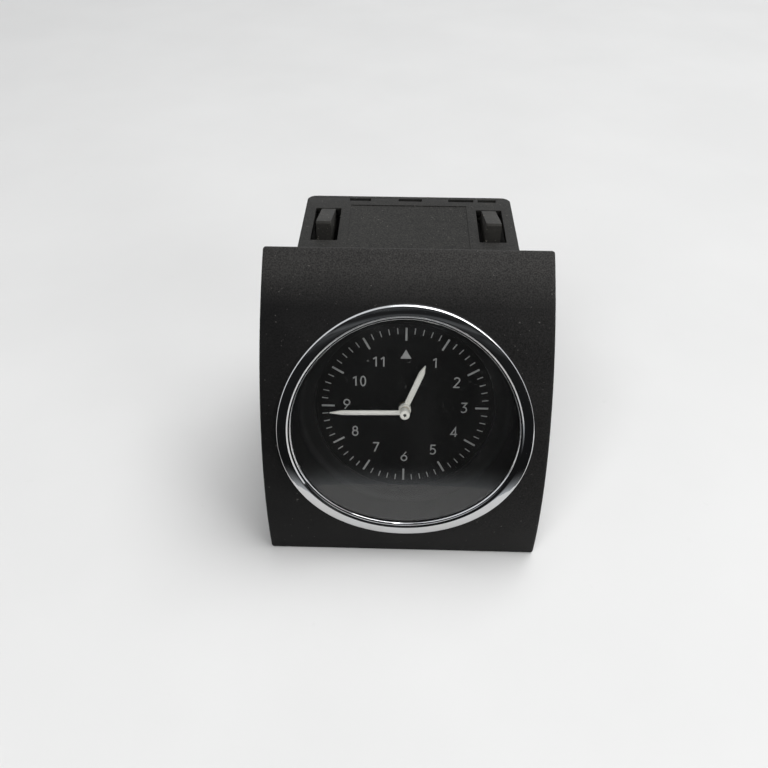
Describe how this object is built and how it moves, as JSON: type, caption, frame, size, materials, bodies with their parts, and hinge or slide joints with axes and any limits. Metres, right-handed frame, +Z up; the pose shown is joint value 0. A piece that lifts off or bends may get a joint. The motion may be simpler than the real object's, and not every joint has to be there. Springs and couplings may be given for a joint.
{
  "type": "dashboard clock",
  "caption": "Analogue car dashboard clock: curved fascia panel with a chrome-ringed lens, raked black dial, geared stepper movement, plug socket and sprung top latches on a boxy housing.",
  "frame": {"origin": "middle of the clock's footprint, on the surface that it stands on", "axes": "+Z up, -Y out of the dial's side of the fascia, +X to the right as the dial is read"},
  "size_m": [0.088, 0.0926, 0.0908],
  "materials": {
    "panel_black": "fine soft-touch grain",
    "housing_black": "spark-eroded moulded grain",
    "latch_grey": "smooth moulded",
    "chrome": "polished",
    "clear_lens": "polished clear",
    "gasket_rubber": "matt",
    "surround_gloss": "gloss black",
    "dial_black": "matt black print",
    "print_white": "screen print",
    "hand_ivory": "satin ivory white",
    "guide_clear": "clear acrylic",
    "board_green": "solder resist",
    "lamp_white": "moulded lens",
    "ribbon_grey": "flat cable",
    "brass": "brushed",
    "steel": "bright zinc",
    "coil_copper": "enamelled wire",
    "wheel_white": "moulded nylon",
    "magnet_dark": "plastic-bonded magnet",
    "chip_black": "moulded",
    "capacitor_sleeve": "printed sleeve",
    "connector_black": "moulded",
    "pin_gold": "plated"
  },
  "bodies": {
    "case": {"front_panel": "panel_black", "bezel_ring": "chrome", "lens": "clear_lens", "lens_gasket": "gasket_rubber", "dial_surround": "surround_gloss", "dial": "dial_black", "dial_marks": "print_white", "light_guide": "guide_clear", "lamp_board": "board_green", "lamps": "lamp_white", "ribbon_cable": "ribbon_grey", "movement_front_plate": "brass", "movement_rear_plate": "brass", "movement_pillars": "brass", "centre_bush": "brass", "motor_stator": "steel", "motor_coil": "coil_copper", "main_board": "board_green", "board_chips": "chip_black", "capacitor": "capacitor_sleeve", "connector_shell": "connector_black", "connector_pins": "pin_gold", "housing": "housing_black", "rear_cover": "housing_black", "panel_screws": "steel", "carrier_screws": "steel", "movement_screws": "steel", "board_screws": "steel"},
    "minute": {"minute_hand": "hand_ivory", "minute_arbor": "steel", "cannon_pinion": "brass", "drive_wheel": "brass"},
    "hour": {"hour_hand": "hand_ivory", "hour_wheel": "brass"},
    "motion_wheel": {"minute_wheel": "brass"},
    "reduction": {"reduction_wheel": "wheel_white"},
    "rotor": {"motor_rotor": "magnet_dark"},
    "left_latch": {"latch_left": "latch_grey"},
    "right_latch": {"latch_right": "latch_grey"}
  },
  "joints": [
    {"name": "minute_spin", "type": "hinge", "parent": "case", "child": "minute", "pos_m": [0, -0.01792, 0.04114], "axis": [0, 0.9455, -0.3256], "continuous": true},
    {"name": "hour_spin", "type": "hinge", "parent": "case", "child": "hour", "pos_m": [0, -0.01792, 0.04114], "axis": [0, 0.9455, -0.3256], "continuous": true},
    {"name": "motion_wheel_spin", "type": "hinge", "parent": "case", "child": "motion_wheel", "pos_m": [-0.0105, -0.01792, 0.04114], "axis": [0, 0.9455, -0.3256], "continuous": true},
    {"name": "reduction_spin", "type": "hinge", "parent": "case", "child": "reduction", "pos_m": [0.00831, -0.01603, 0.04664], "axis": [0, 0.9455, -0.3256], "continuous": true},
    {"name": "rotor_spin", "type": "hinge", "parent": "case", "child": "rotor", "pos_m": [0.01585, -0.01744, 0.04253], "axis": [0, 0.9455, -0.3256], "continuous": true},
    {"name": "left_latch_press", "type": "hinge", "parent": "case", "child": "left_latch", "pos_m": [-0.0273, 0.03663, 0.07993], "axis": [1, 0, 0], "range_deg": [0, 16], "stiffness_Nm_per_rad": 0.25},
    {"name": "right_latch_press", "type": "hinge", "parent": "case", "child": "right_latch", "pos_m": [0.0273, 0.03663, 0.07993], "axis": [1, 0, 0], "range_deg": [0, 16], "stiffness_Nm_per_rad": 0.25}
  ],
  "couplings": [
    {"joint": "hour_spin", "follows": "minute_spin", "ratio": 0.083333},
    {"joint": "motion_wheel_spin", "follows": "minute_spin", "ratio": -0.33333},
    {"joint": "reduction_spin", "follows": "minute_spin", "ratio": -6},
    {"joint": "rotor_spin", "follows": "minute_spin", "ratio": 30}
  ]
}
